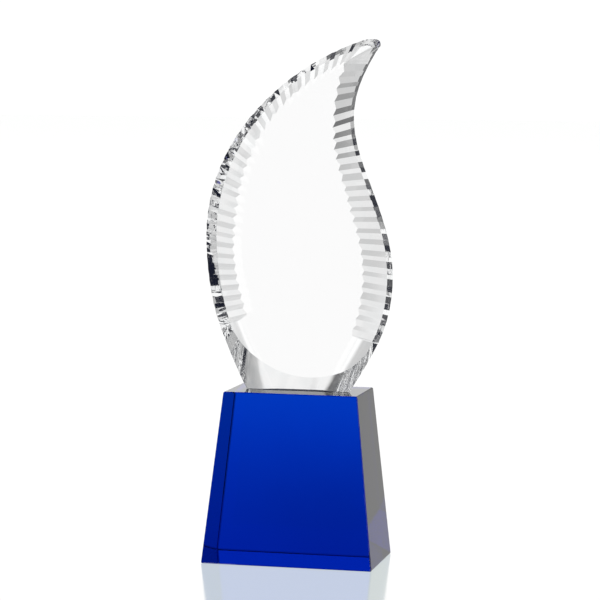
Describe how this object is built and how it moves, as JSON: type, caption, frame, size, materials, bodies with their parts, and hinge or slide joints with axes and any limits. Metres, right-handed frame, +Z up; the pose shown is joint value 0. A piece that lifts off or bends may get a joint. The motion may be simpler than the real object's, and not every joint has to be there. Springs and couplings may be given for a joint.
{
  "type": "crystal flame award",
  "caption": "Clear crystal flame with fluted bevelled edges, bonded upright on a tapered cobalt crystal base.",
  "frame": {"origin": "centre of the base's underside, on the surface it stands on", "axes": "+Z up, -Y the front, which the fluted bevels of the flame face, +X towards the side the flame's tip bends to"},
  "size_m": [0.0924, 0.0518, 0.2526],
  "materials": {
    "clear_crystal": "polished clear optical crystal",
    "cured_adhesive": "clear cured bond line",
    "cobalt_crystal": "polished cobalt blue crystal"
  },
  "bodies": {
    "root": {"crystal_flame": "clear_crystal", "bond_film": "cured_adhesive", "cobalt_base": "cobalt_crystal"}
  },
  "joints": []
}
